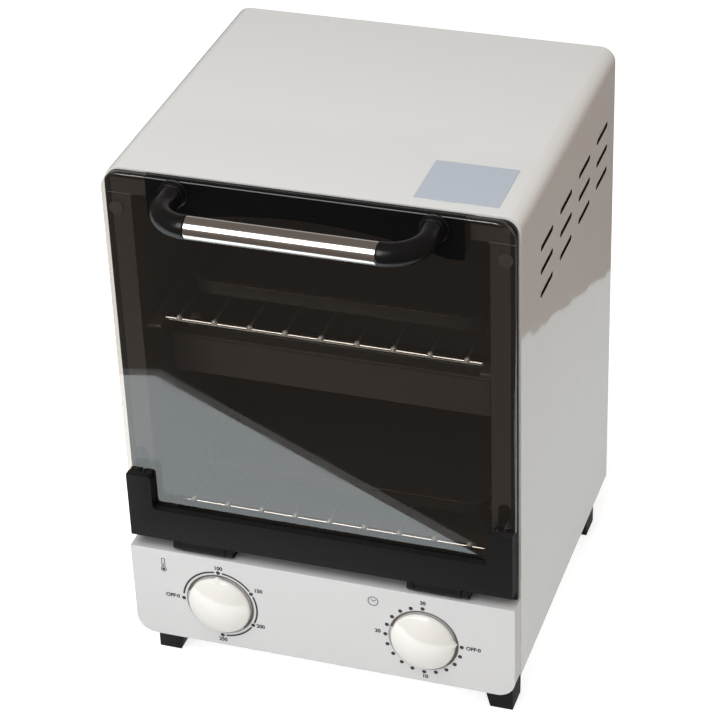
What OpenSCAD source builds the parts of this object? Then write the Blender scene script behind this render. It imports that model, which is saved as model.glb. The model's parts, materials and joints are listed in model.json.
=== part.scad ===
/* [Overall size] */
// Width across the outer shell, mm
body_w = 255; // [250:1:262]
// Height of the shell's top above the bench, mm
body_h = 362; // [358:1:370]
// Depth from the panel's front face to the shell's back face, mm
body_d = 241; // [236:1:252]
// Height of the feet under the base plate, mm
foot_h = 33; // [31:1:33]
// Outside radius of the shell's rounded top corners, mm
shell_r = 9.6; // [8:0.2:12]
// Sheet metal thickness, mm
sheet_t = 1; // [0.8:0.1:1]

/* [Door] */
// Glass thickness, mm
glass_t = 4.6; // [4:0.1:4.6]
// Corner radius of the glass, mm
glass_r = 12; // [9:0.5:14]
// Top of the bottom rail between its corner posts, mm
rail_top = 125.3; // [123:0.1:127]
// Top of the corner posts, mm
post_top = 149.5; // [149:0.1:151]
// Width of each corner post, mm
post_w = 16.5; // [16:0.1:17]

/* [Handle] */
// Distance from the middle to each handle mount, mm
handle_x = 79.4; // [78:0.2:81]
// How far the handle's axis lies under the shell's top, mm
handle_drop = 7.2; // [7.2:0.2:10]
// How far the grip's axis stands in front of the panel face, mm
handle_out = 31; // [28:0.5:36]
// Radius of the steel grip tube, mm
grip_r = 7; // [6.5:0.1:7.4]
// Radius of the plastic elbows, mm
elbow_r = 7.1; // [7:0.1:7.6]
// Radius of the bend on the elbow's axis, mm
bend_r = 21; // [18:0.5:23]

/* [Controls] */
// Distance from the shell's side to each knob's axis, mm
knob_in = 59.5; // [57.5:0.5:63.5]
// Height of the knobs' axis, mm
knob_z = 58.5; // [58:0.5:60]
// Radius of each knob, mm
knob_r = 21; // [19:0.5:21.5]
// How far each knob stands out of the panel, mm
knob_h = 10.5; // [8:0.5:13]
// Height of the control panel's lower edge, mm
panel_lo = 25.6; // [24:0.2:28]
// Height of the control panel's top ledge, mm
panel_hi = 94; // [93:0.1:94]
// Radius of the panel's lower corners, mm
panel_r = 12; // [9:0.5:14]

/* [Racks] */
// Height of the lower rack's front wire, mm
rack_lo = 118; // [118:0.5:122]
// Height of the upper rack's front wire, mm
rack_hi = 254; // [230:1:262]
// Radius of the rack's frame wire, mm
wire_r = 1.5; // [1.3:0.1:1.6]
// Number of bars across each rack
bar_n = 9; // [7:1:11]
// Depth of the shallow tray that lies on each rack, mm
tray_h = 12; // [8:0.5:20]
// Corner radius of the trays, mm
tray_r = 16; // [12:0.5:20]

/* [Vents] */
// Slots in each row of a side vent
vent_cols = 4; // [3:1:4]
// Rows of slots in a side vent
vent_rows = 3; // [2:1:4]
// Length of one vent slot, mm
vent_len = 28.5; // [24:0.5:32]
// Height of one vent slot, mm
vent_h = 4; // [3:0.2:5]

/* [Hidden] */
$fn = 48;
eps = 0.01;
gap = 0.3;
half_w = body_w / 2;
shell_y = 14;
inner_x = half_w - sheet_t;
knob_x = half_w - knob_in;
frame_y = 11;
frame_x = half_w - 1.5;
rail_lo = panel_hi + 9;
open_x = half_w - 17.5;
open_lo = rail_lo + 5;
open_hi = body_h - 15.5;
notch_x = half_w - 29;
notch_hi = body_h - 2.5;
cav_x = half_w - 16.5;
cav_lo = panel_hi - 2;
cav_hi = body_h - 12;
cav_back = body_d - 19;
recess_y = 26;
glass_y = 4.9;
glass_back = glass_y + glass_t;
glass_x = half_w - 1.3;
glass_lo = open_lo;
glass_hi = body_h + 1;
rail_x = half_w - 1.7;
block_x = half_w - 15.2;
block_hi = post_top - 1;
block_y = 10.7;
hinge_y = 4.2;
hinge_z = rail_lo - 4.2;
pin_r = 1.5;
lug_out = half_w - 34.8;
lug_in = lug_out - 30.2;
ear_t = 4.7;
arm_x = half_w - 9.5;
arm_y = 7.2;
arm_z = hinge_z + 46;
arm_tilt = atan((arm_y - hinge_y) / (arm_z - hinge_z));
arm_len = 74.5;
slot_w = 8;
slot_lo = arm_z - 4.8;
slot_hi = arm_z + 20.2;
bumper_z = body_h - 25.8;
handle_z = body_h - handle_drop;
cover_x = half_w - 30.3;
cover_lo = handle_z - 19.3;
cover_y = 21.5;
grip_x = handle_x - bend_r - 1;
ring_y = -1;
ring_r = elbow_r + 0.9;
arch_half = cover_x - 11.2;
arch_rise = 11.6;
arch_r = (arch_half * arch_half + arch_rise * arch_rise) / (2 * arch_rise);
knob_skirt = 2;
dome_h = knob_h - knob_skirt;
knob_slope = 2 * atan(dome_h / knob_r);
dome_r = knob_r / sin(knob_slope);
dish_r = 23;
rack_y = 26;
rack_x = half_w - 24.5;
rack_d = cav_back - 9 - rack_y;
bar_r = 1;
bar_pitch = (2 * rack_x - 23.2) / (bar_n - 1);
vent_y = 57.7;
vent_pitch = (body_d - 59) / 4;
vent_top = body_h - 44.3;
vent_step = 15.9;
shaft_r = 3;
gland_x = half_w - 43.5;
gland_z = foot_h + 31;
front_foot_y = 27;
rear_foot_y = body_d - 20;
foot_in = 14;
element_ys = [cav_back - 132, cav_back - 70];
middle_z = rack_hi - 44;
guard_y = 56;
guard_h = 28;
tray_x = rack_x - 7;
tray_y = 50;
tray_back = cav_back - 15;
tray_rim = 2;
element_lo = cav_lo + 12.5;
element_hi = cav_hi - 13;
back_pitch = (half_w - 15.5) / 4;
emboss_x = cav_x - 13;
term_x = gland_x - 54;
term_y = body_d - 91;
term_top = foot_h + sheet_t + 14;
label_x = half_w - 66.5;
label_w = 51;
gland_r = 3.6;
origin_y = (body_d + 8 - handle_out - elbow_r - 0.2) / 2;

// A solid turned about an axis that runs along X from x0 to x1
module rod_x(x0, x1, y, z, r) {
    translate([x0, y, z])
        rotate([0, 90, 0])
            cylinder(r = r, h = x1 - x0);
}

// A solid turned about an axis that runs along Y from y0 to y1
module rod_y(x, y0, y1, z, r) {
    translate([x, y0, z])
        rotate([-90, 0, 0])
            cylinder(r = r, h = y1 - y0);
}

// A box given by its lowest and highest corners
module block(lo, hi) {
    translate(lo)
        cube(hi - lo);
}

// Left half is a mirror image of the right half
module both_sides() {
    children();
    mirror([1, 0, 0])
        children();
}

// Puts a shape drawn about the panel face into the part's frame
module place() {
    translate([0, -origin_y, 0])
        children();
}

// Plane outline standing in X and Z, made solid from y0 to y1
module upright(y0, y1) {
    translate([0, y1, 0])
        rotate([90, 0, 0])
            linear_extrude(y1 - y0)
                children();
}

// Rectangle whose upper corners are rounded
module arch_top(x, lo, hi, r) {
    translate([-x, lo])
        square([2 * x, hi - lo - r]);
    translate([-x + r, lo])
        square([2 * (x - r), hi - lo]);
    for (s = [-1, 1])
        translate([s * (x - r), hi - r])
            circle(r = r);
}

// Rectangle with all four corners rounded
module soft_rect(x0, x1, z0, z1, r) {
    translate([x0 + r, z0])
        square([x1 - x0 - 2 * r, z1 - z0]);
    translate([x0, z0 + r])
        square([x1 - x0, z1 - z0 - 2 * r]);
    for (x = [x0 + r, x1 - r], z = [z0 + r, z1 - r])
        translate([x, z])
            circle(r = r);
}

module vent_slots(x0, x1) {
    for (c = [0 : vent_cols - 1], r = [0 : vent_rows - 1]) {
        y = vent_y + c * vent_pitch;
        z = vent_top - r * vent_step;
        block([x0, y + vent_h / 2, z - vent_h / 2], [x1, y + vent_len - vent_h / 2, z + vent_h / 2]);
        for (e = [y + vent_h / 2, y + vent_len - vent_h / 2])
            rod_x(x0, x1, e, z, vent_h / 2);
    }
}

module outer_shell() {
    color("whitesmoke")
        place()
            difference() {
                upright(shell_y, body_d - sheet_t)
                    arch_top(half_w, foot_h, body_h, shell_r);
                upright(shell_y + sheet_t, body_d)
                    arch_top(inner_x, foot_h - 1, body_h - sheet_t, shell_r - sheet_t);
                upright(shell_y - 1, shell_y + 2 * sheet_t) {
                    arch_top(half_w - 3, foot_h - 1, body_h - 3, shell_r - 3);
                    translate([-notch_x - 2, body_h - 20])
                        square([2 * notch_x + 4, 20 - sheet_t]);
                }
                vent_slots(half_w - 2, half_w + 1);
                vent_slots(-half_w - 1, -half_w + 2);
            }
}

module back_panel() {
    color("gainsboro")
        place()
            difference() {
                upright(body_d - sheet_t, body_d)
                    arch_top(half_w, foot_h, body_h, shell_r);
                for (c = [-3 : 3], r = [0 : 5]) {
                    x = c * back_pitch;
                    z = body_h - 112 + r * 14;
                    w = back_pitch / 2 - 4;
                    block([x - w, body_d - 3, z], [x + w, body_d + 1, z + 4]);
                }
                rod_y(gland_x, body_d - 3, body_d + 1, gland_z, 6);
                back_screw_spots()
                    rod_y(0, body_d - 3, body_d + 1, 0, 1.6);
            }
}

module back_screw_spots() {
    for (s = [-1, 1], z = [foot_h + 27, (foot_h + body_h) / 2, body_h - 17])
        translate([s * (half_w - 8), 0, z])
            children();
}

module back_screws() {
    color("silver")
        place()
            back_screw_spots() {
                rod_y(0, body_d, body_d + 2.2, 0, 3.4);
                rod_y(0, body_d - 6, body_d + eps, 0, 1.6);
            }
}

module foot_spots(y) {
    for (s = [-1, 1])
        translate([s * (half_w - foot_in), y, 0])
            children();
}

module base_plate() {
    color("silver")
        place()
            difference() {
                union() {
                    block([-inner_x, shell_y + sheet_t, foot_h], [inner_x, body_d - sheet_t, foot_h + sheet_t]);
                    for (s = [-1, 1])
                        translate([s * (inner_x - sheet_t / 2), 0, 0])
                            block([-sheet_t / 2, 30, foot_h], [sheet_t / 2, body_d - 4, foot_h + 9]);
                    block([27 - half_w, shell_y + sheet_t, foot_h], [half_w - 27, shell_y + 2 * sheet_t, foot_h + 3]);
                }
                for (c = [-2 : 2], r = [0 : 4]) {
                    y = body_d / 2 - 40 + r * 22;
                    block([c * 30 - 10, y, foot_h - 1], [c * 30 + 10, y + 5, foot_h + 2]);
                }
                for (y = [front_foot_y, rear_foot_y])
                    foot_spots(y)
                        translate([0, 0, foot_h - 1])
                            cylinder(r = 2, h = 4);
            }
}

// One tapered foot: upright outer faces, sloping inner faces
module foot(s) {
    mirror([s < 0 ? 1 : 0, 0, 0])
        difference() {
            intersection() {
                upright(-10, 12)
                    polygon([[-7.5, 0], [7.5, 0], [7.5, foot_h], [-14, foot_h], [-14, foot_h - 7]]);
                translate([-16, 0, 0])
                    rotate([90, 0, 90])
                        linear_extrude(30)
                            polygon([[-9.5, 0], [9.5, 0], [11, foot_h - 11], [11, foot_h], [-9.5, foot_h]]);
            }
            translate([0, 0, -1])
                cylinder(r = 4.2, h = foot_h - 3);
            translate([0, 0, foot_h - 5])
                cylinder(r = 2, h = 6);
        }
}

module front_feet() {
    color("dimgray")
        place()
            for (s = [-1, 1])
                translate([s * (half_w - foot_in), front_foot_y, 0])
                    foot(s);
}

module rear_feet() {
    color("dimgray")
        place()
            for (s = [-1, 1])
                translate([s * (half_w - foot_in), rear_foot_y, 0])
                    mirror([0, 1, 0])
                        foot(s);
}

module foot_screws() {
    color("silver")
        place()
            for (y = [front_foot_y, rear_foot_y])
                foot_spots(y) {
                    translate([0, 0, foot_h - 6])
                        cylinder(r = 3.8, h = 2);
                    translate([0, 0, foot_h - 4 - eps])
                        cylinder(r = 2, h = 8);
                }
}

// Upright slot with round ends for a stay arm
module stay_slot(s) {
    translate([s * arm_x, 0])
        soft_rect(-slot_w / 2, slot_w / 2, slot_lo, slot_hi, slot_w / 2 - eps);
}

module frame_outline() {
    difference() {
        arch_top(frame_x, panel_hi + 0.5, body_h - 1.2, shell_r - 1);
        soft_rect(-open_x, open_x, open_lo, open_hi, 3);
        translate([-notch_x, open_hi - 5])
            square([2 * notch_x, notch_hi - open_hi + 5]);
        for (s = [-1, 1])
            stay_slot(s);
    }
}

module front_frame() {
    color("lightgray")
        place() {
            upright(frame_y, frame_y + sheet_t)
                frame_outline();
            upright(frame_y + sheet_t - eps, shell_y)
                difference() {
                    arch_top(frame_x, panel_hi + 0.5, body_h - 1.2, shell_r - 1);
                    arch_top(frame_x - sheet_t, panel_hi - 1, body_h - 1.2 - sheet_t, shell_r - 2);
                }
            difference() {
                block([-notch_x - sheet_t, frame_y + eps, open_hi], [notch_x + sheet_t, recess_y, notch_hi + sheet_t]);
                block([-notch_x, frame_y - 1, open_hi - 1], [notch_x, recess_y - sheet_t, notch_hi]);
                block([-notch_x, recess_y - 3, open_hi - 1], [notch_x, recess_y + 1, cav_hi]);
            }
        }
}

module cavity_wall(s) {
    color("silver")
        place()
            mirror([s < 0 ? 1 : 0, 0, 0])
                difference() {
                    block([cav_x, frame_y + sheet_t, cav_lo], [cav_x + sheet_t, cav_back, cav_hi]);
                    block([cav_x - 1, frame_y, cav_lo - 1], [cav_x + 3, shell_y + sheet_t, panel_hi + 0.4]);
                    element_axes(cav_x - 1, cav_x + 3, 4.6);
                }
}

module cavity_roof() {
    color("silver")
        place() {
            block([-cav_x, recess_y, cav_hi - sheet_t], [cav_x, cav_back, cav_hi]);
            both_sides()
                block([notch_x + sheet_t, frame_y + sheet_t, cav_hi - sheet_t], [cav_x, recess_y + eps, cav_hi]);
        }
}

module cavity_floor() {
    color("silver")
        place()
            block([-cav_x, shell_y + sheet_t, cav_lo], [cav_x, cav_back, cav_lo + sheet_t]);
}

module cavity_back() {
    color("silver")
        place() {
            block([-cav_x - sheet_t, cav_back, cav_lo], [cav_x + sheet_t, cav_back + sheet_t, cav_hi]);
            upright(cav_back - 3, cav_back + eps)
                soft_rect(-emboss_x, emboss_x, cav_lo + 63, cav_hi - 30, 18);
            upright(cav_back - 3, cav_back + eps)
                soft_rect(-emboss_x, emboss_x, cav_lo + 8, cav_lo + 20, 5);
        }
}

module rack_runner(s) {
    color("silver")
        place()
            mirror([s < 0 ? 1 : 0, 0, 0])
                for (z = [rack_lo, rack_hi]) {
                    top = z - wire_r - gap;
                    block([cav_x - 1, 20, top - 4], [cav_x, cav_back - 4, top]);
                    block([cav_x - 10, 20, top - 1], [cav_x - 1 + eps, cav_back - 4, top]);
                    rod_x(cav_x - 10, cav_x, 20, top - 1.5, 1.5);
                }
}

module element_axes(x0, x1, r) {
    for (y = element_ys, z = [element_lo, middle_z, element_hi])
        rod_x(x0, x1, y, z, r);
}

module element(y, z) {
    color("darkgray")
        place() {
            rod_x(-cav_x - 8, cav_x + 8, y, z, 3.2);
            both_sides()
                rod_x(cav_x + 7.9, cav_x + 12, y, z, 1.2);
        }
}

// Channel of sheet in front of the middle elements, with a raised face
module middle_guard() {
    lo = middle_z - guard_h / 2;
    hi = middle_z + guard_h / 2;
    color("silver")
        place() {
            block([-cav_x, guard_y, lo], [cav_x, guard_y + sheet_t, hi]);
            for (z = [lo, hi - sheet_t])
                block([-cav_x, guard_y + sheet_t - eps, z], [cav_x, guard_y + 10, z + sheet_t]);
            block([14 - cav_x, guard_y - 1.2, lo + 1], [cav_x - 14, guard_y + eps, hi - 2]);
        }
}

module element_bushes() {
    color("linen")
        place()
            both_sides()
                difference() {
                    union() {
                        element_axes(cav_x - 2, cav_x + 6, 4.6);
                        element_axes(cav_x - 3, cav_x, 6.5);
                    }
                    element_axes(cav_x - 4, cav_x + 7, 3.2);
                }
}

module panel_shape(inset) {
    x = half_w - 0.2 - inset;
    lo = panel_lo + inset;
    r = panel_r - inset;
    translate([-x, lo + r])
        square([2 * x, panel_hi - inset - lo - r]);
    translate([-x + r, lo])
        square([2 * (x - r), panel_hi - inset - lo]);
    for (s = [-1, 1])
        translate([s * (x - r), lo + r])
            circle(r = r);
}

module control_panel() {
    color("whitesmoke")
        place()
            difference() {
                upright(0, shell_y)
                    panel_shape(0);
                upright(3, shell_y + 1)
                    panel_shape(1.6);
                for (s = [-1, 1]) {
                    rod_y(s * knob_x, -1, 1.4, knob_z, dish_r);
                    rod_y(s * knob_x, -1, 5, knob_z, shaft_r + 0.6);
                }
            }
}

module control_plate() {
    color("silver")
        place()
            difference() {
                block([-half_w + 3.4, shell_y, foot_h + sheet_t], [half_w - 3.4, shell_y + sheet_t, panel_hi + 0.4]);
                for (s = [-1, 1])
                    rod_y(s * knob_x, shell_y - 1, shell_y + 3, knob_z, 6);
            }
}

// Domed knob with a small pointer beak at its rim, turned to angle a
module knob(x, a) {
    translate([x, 0, knob_z])
        rotate([0, a, 0])
            difference() {
                union() {
                    rotate([90, 0, 0])
                        rotate_extrude($fn = 96)
                            polygon(concat([[0, -1], [knob_r - 0.6, -1], [knob_r, 0]], [
                                for (i = [0 : 16])
                                    let (t = knob_slope * (1 - i / 16))
                                        [dome_r * sin(t), knob_h - dome_r * (1 - cos(t))]
                            ]));
                    upright(-3.5, 1)
                        polygon([[-3.6, knob_r - 4], [3.6, knob_r - 4], [0, knob_r + 1.7]]);
                }
                rod_y(0, -7, 2, 0, shaft_r);
            }
}

module temperature_knob() {
    color("ivory")
        place()
            knob(-knob_x, 0);
}

module timer_knob() {
    color("ivory")
        place()
            knob(knob_x, 90);
}

module shaft(x) {
    color("silver")
        place()
            rod_y(x, -7, 20, knob_z, shaft_r);
}

module thermostat() {
    color("dimgray")
        place()
            difference() {
                union() {
                    block([-knob_x - 18, 16, knob_z - 13], [-knob_x + 18, 42, knob_z + 13]);
                    rod_y(-knob_x, shell_y + sheet_t, 17, knob_z, 11);
                }
                rod_y(-knob_x, shell_y, 21, knob_z, shaft_r + 0.05);
            }
}

module timer_body() {
    color("dimgray")
        place()
            difference() {
                union() {
                    block([knob_x - 24, 16, knob_z - 21], [knob_x + 24, 44, knob_z + 21]);
                    rod_y(knob_x, shell_y + sheet_t, 17, knob_z, 11);
                }
                rod_y(knob_x, shell_y, 21, knob_z, shaft_r + 0.05);
            }
}

module timer_bell() {
    color("gold")
        place()
            difference() {
                rod_y(knob_x, 44, 54, knob_z, 16);
                rod_y(knob_x, 46, 55, knob_z, 14.8);
            }
}

module terminal_block() {
    color("ivory")
        place()
            block([term_x, term_y, foot_h + sheet_t], [term_x + 32, term_y + 16, term_top]);
}

// Wire run through a list of points
module wire(points, r) {
    for (i = [0 : len(points) - 2]) {
        d = points[i + 1] - points[i];
        n = norm(d);
        translate(points[i])
            rotate([0, acos(d[2] / n), atan2(d[1], d[0])])
                translate([0, 0, i == 0 ? 0 : -0.4])
                    cylinder(r = r, h = n + (i == 0 ? 0 : 0.4));
    }
}

module wire_loom() {
    color("firebrick")
        place() {
            wire([
                [8 - knob_x, 42, knob_z + 7.5], [8 - knob_x, 60, knob_z + 7.5],
                [term_x + 6, term_y - 20, term_top + 12], [term_x + 6, term_y + 8, term_top + 12],
                [term_x + 6, term_y + 8, term_top]
            ], 1.2);
            wire([
                [term_x + 16, term_y + 8, term_top], [term_x + 16, term_y + 8, term_top + 14],
                [knob_x + 16, 70, knob_z + 9.5], [knob_x + 16, 44, knob_z + 9.5]
            ], 1.2);
            wire([
                [-8 - knob_x, 42, knob_z - 8.5], [-8 - knob_x, 58, knob_z - 8.5],
                [knob_x - 48, 62, knob_z - 16.5], [knob_x - 18, 58, knob_z - 14.5],
                [knob_x - 18, 44, knob_z - 14.5]
            ], 1.2);
        }
}

module cord_gland() {
    color("dimgray")
        place()
            difference() {
                union() {
                    rod_y(gland_x, body_d - 10, body_d + 8, gland_z, 6);
                    rod_y(gland_x, body_d, body_d + 3, gland_z, 9);
                    rod_y(gland_x, body_d - 6, body_d - sheet_t, gland_z, 9);
                }
                rod_y(gland_x, body_d - 11, body_d + 9, gland_z, gland_r);
            }
}

module door_glass() {
    color([0.15, 0.12, 0.1, 0.6])
        place()
            difference() {
                upright(glass_y, glass_back)
                    arch_top(glass_x, glass_lo, glass_hi, glass_r);
                both_sides()
                    block([block_x - gap, glass_y - 1, glass_lo - 1], [glass_x + 1, glass_back + 1, block_hi + gap]);
                for (s = [-1, 1])
                    rod_y(s * handle_x, glass_y - 1, glass_back + 1, handle_z, 2.6);
            }
}

module rail_front() {
    post_r = 2.5;
    difference() {
        translate([-rail_x, rail_lo])
            square([2 * rail_x, post_top - rail_lo]);
        soft_rect(-rail_x + post_w, rail_x - post_w, rail_top, post_top + 20, post_r);
        for (s = [0, 1])
            mirror([s, 0])
                translate([rail_x - post_w + post_r, post_top - post_r])
                    difference() {
                        translate([-post_r - 1, 0])
                            square(post_r + 1);
                        circle(r = post_r);
                    }
    }
}

module door_rail() {
    color("dimgray")
        place()
            difference() {
                union() {
                    upright(0, glass_y)
                        rail_front();
                    block([-rail_x, 0, rail_lo], [rail_x, block_y, glass_lo]);
                    block([-rail_x, glass_back, rail_lo], [rail_x, block_y, rail_top - 3]);
                    both_sides() {
                        block([block_x, glass_y - eps, rail_lo], [rail_x, block_y, block_hi]);
                        rod_x(lug_in, lug_out, hinge_y, hinge_z, 4);
                        block([lug_in, 1.2, hinge_z], [lug_out, hinge_y + 4, rail_lo + eps]);
                    }
                }
                both_sides() {
                    rod_x(lug_in - 1, lug_out + 1, hinge_y, hinge_z, pin_r);
                    block([arm_x - 1.1, arm_y - 2.9, arm_z - 9.5], [arm_x + 1.1, block_y + 1, post_top - 1]);
                    rod_x(arm_x - 4, arm_x + 4, arm_y, arm_z, 1.2);
                }
            }
}

module hinge_pins() {
    color("silver")
        place()
            both_sides()
                rod_x(lug_in - ear_t, lug_out + ear_t, hinge_y, hinge_z, pin_r);
}

module hinge_bracket(s) {
    color("dimgray")
        place()
            mirror([s < 0 ? 1 : 0, 0, 0])
                difference() {
                    union() {
                        for (x = [lug_in - gap - ear_t, lug_out + gap]) {
                            rod_x(x, x + ear_t, hinge_y, hinge_z, 3.7);
                            block([x, hinge_y, hinge_z - 3.7], [x + ear_t, frame_y, hinge_z + 3.7]);
                        }
                        block([lug_in - ear_t, frame_y - 1.4, hinge_z - 3.7], [lug_out + ear_t, frame_y, hinge_z + 3.7]);
                    }
                    rod_x(lug_in - 10, lug_out + 10, hinge_y, hinge_z, pin_r + 0.05);
                }
}

module handle_grip() {
    color("lightgray")
        place()
            difference() {
                rod_x(-grip_x, grip_x, -handle_out, handle_z, grip_r);
                rod_x(-grip_x - 1, grip_x + 1, -handle_out, handle_z, grip_r - 1);
            }
}

module elbow(s) {
    color("dimgray")
        place()
            mirror([s < 0 ? 1 : 0, 0, 0])
                difference() {
                    union() {
                        rod_y(handle_x, -handle_out + bend_r - 0.5, ring_y, handle_z, elbow_r + 0.3);
                        translate([handle_x - bend_r, -handle_out + bend_r, handle_z])
                            rotate([0, 0, -90])
                                rotate_extrude(angle = 90)
                                    translate([bend_r, 0])
                                        circle(r = elbow_r);
                        rod_x(grip_x, handle_x - bend_r + 0.5, -handle_out, handle_z, elbow_r + 0.2);
                        rod_x(grip_x - 12, grip_x + 0.5, -handle_out, handle_z, grip_r - 1.1);
                    }
                    rod_y(handle_x, -8, glass_y, handle_z, 2);
                }
}

module handle_collars() {
    color("dimgray")
        place()
            for (s = [-1, 1])
                difference() {
                    union() {
                        rod_y(s * handle_x, ring_y, ring_y + 1.4, handle_z, ring_r);
                        rod_y(s * handle_x, ring_y + 1.3, glass_y, handle_z, ring_r - 0.4);
                        rod_y(s * handle_x, glass_y - 1.2, glass_y, handle_z, ring_r + 0.9);
                    }
                    rod_y(s * handle_x, ring_y - 1, glass_y + 1, handle_z, 2.2);
                }
}

module cover_outline(inset) {
    difference() {
        translate([0, inset])
            soft_rect(-cover_x + inset, cover_x - inset, cover_lo, notch_hi - 1 - 2 * inset, 6 - inset);
        translate([0, cover_lo + arch_rise - arch_r])
            circle(r = arch_r + inset, $fn = 360);
    }
}

module handle_cover() {
    color("dimgray")
        place()
            difference() {
                union() {
                    upright(glass_back, cover_y)
                        cover_outline(0);
                    upright(glass_back, glass_back + 1)
                        soft_rect(-cover_x, cover_x, notch_hi - 10, glass_hi - 1.2, 3);
                }
                upright(glass_back - 1, cover_y - 2)
                    difference() {
                        cover_outline(2);
                        for (s = [-1, 1])
                            translate([s * handle_x, handle_z])
                                circle(r = 3.6);
                    }
                for (s = [-1, 1])
                    rod_y(s * handle_x, glass_back - 1, cover_y + 1, handle_z, 2.2);
            }
}

module handle_screws() {
    color("silver")
        place()
            for (s = [-1, 1]) {
                rod_y(s * handle_x, -7, cover_y + eps, handle_z, 2);
                rod_y(s * handle_x, cover_y, cover_y + 1.8, handle_z, 3.5);
            }
}

module stay_arm(s) {
    color("silver")
        place()
            mirror([s < 0 ? 1 : 0, 0, 0])
                translate([arm_x, arm_y, arm_z])
                    rotate([-arm_tilt, 0, 0])
                        difference() {
                            union() {
                                rod_x(-0.8, 0.8, 0, 0, 2.6);
                                block([-0.8, 0, -2.6], [0.8, arm_len, 2.6]);
                                rod_x(-0.8, 0.8, arm_len, 0, 2.6);
                                rod_x(-5, 5, arm_len, 0, 1.5);
                            }
                            rod_x(-2, 2, 0, 0, 1.25);
                        }
}

module stay_pins() {
    color("silver")
        place()
            both_sides()
                rod_x(arm_x - 4, arm_x + 4, arm_y, arm_z, 1.2);
}

module door_bumpers() {
    color("gray")
        place()
            both_sides()
                rod_y(half_w - 8, glass_back + gap, frame_y, bumper_z, 4.4);
}

module rack(z) {
    color("silver")
        place() {
            for (y = [rack_y, rack_y + rack_d])
                rod_x(-rack_x, rack_x, y, z, wire_r);
            for (s = [-1, 1])
                rod_y(s * rack_x, rack_y, rack_y + rack_d, z, wire_r);
            for (sx = [-1, 1], y = [rack_y, rack_y + rack_d])
                translate([sx * rack_x, y, z])
                    sphere(r = wire_r);
            for (i = [0 : bar_n - 1]) {
                x = (i - (bar_n - 1) / 2) * bar_pitch;
                rod_y(x, rack_y - 1, rack_y + rack_d + 1, z + wire_r + 0.3, bar_r);
                translate([x, rack_y - 1, z + wire_r])
                    sphere(r = 1.9);
            }
        }
}

// Plan outline made solid from z0 to z1
module plan(z0, z1) {
    translate([0, 0, z0])
        linear_extrude(z1 - z0)
            children();
}

// Shallow pan with a flat rim, resting on the bars of a rack
module tray(z) {
    z0 = z + wire_r + 0.3 + bar_r;
    x = tray_x - tray_rim;
    y = tray_y + tray_rim;
    yb = tray_back - tray_rim;
    color("silver")
        place()
            difference() {
                union() {
                    plan(z0, z0 + tray_h)
                        soft_rect(-x, x, y, yb, tray_r - tray_rim);
                    plan(z0 + tray_h - 1, z0 + tray_h)
                        soft_rect(-tray_x, tray_x, tray_y, tray_back, tray_r);
                }
                plan(z0 + sheet_t, z0 + tray_h + 1)
                    soft_rect(-x + sheet_t, x - sheet_t, y + sheet_t, yb - sheet_t, tray_r - tray_rim - sheet_t);
            }
}

module top_label() {
    color("lightsteelblue")
        place()
            block([label_x, 23, body_h], [label_x + label_w, 69.3, body_h + 0.3]);
}

outer_shell();
back_panel();
base_plate();
front_frame();
cavity_wall(-1);  // cavity_wall_left
cavity_wall(1);  // cavity_wall_right
cavity_roof();
cavity_floor();
cavity_back();
rack_runner(-1);  // rack_runner_left
rack_runner(1);  // rack_runner_right
control_panel();
control_plate();
temperature_knob();
shaft(-knob_x);  // temperature_shaft
thermostat();
timer_knob();
shaft(knob_x);  // timer_shaft
timer_body();
timer_bell();
door_glass();
door_rail();
hinge_pins();
hinge_bracket(-1);  // hinge_bracket_left
hinge_bracket(1);  // hinge_bracket_right
handle_grip();
elbow(-1);  // handle_elbow_left
elbow(1);  // handle_elbow_right
handle_collars();
handle_cover();
handle_screws();
stay_arm(-1);  // stay_arm_left
stay_arm(1);  // stay_arm_right
stay_pins();
door_bumpers();
rack(rack_hi);  // upper_rack
rack(rack_lo);  // lower_rack
tray(rack_hi);  // upper_tray
tray(rack_lo);  // lower_tray
element(element_ys[0], middle_z);  // middle_element_front
element(element_ys[1], middle_z);  // middle_element_rear
middle_guard();
element(element_ys[0], element_hi);  // upper_element_front
element(element_ys[1], element_hi);  // upper_element_rear
element(element_ys[0], element_lo);  // lower_element_front
element(element_ys[1], element_lo);  // lower_element_rear
element_bushes();
terminal_block();
wire_loom();
cord_gland();
front_feet();
rear_feet();
foot_screws();
back_screws();
top_label();
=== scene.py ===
import json
import math

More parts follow.
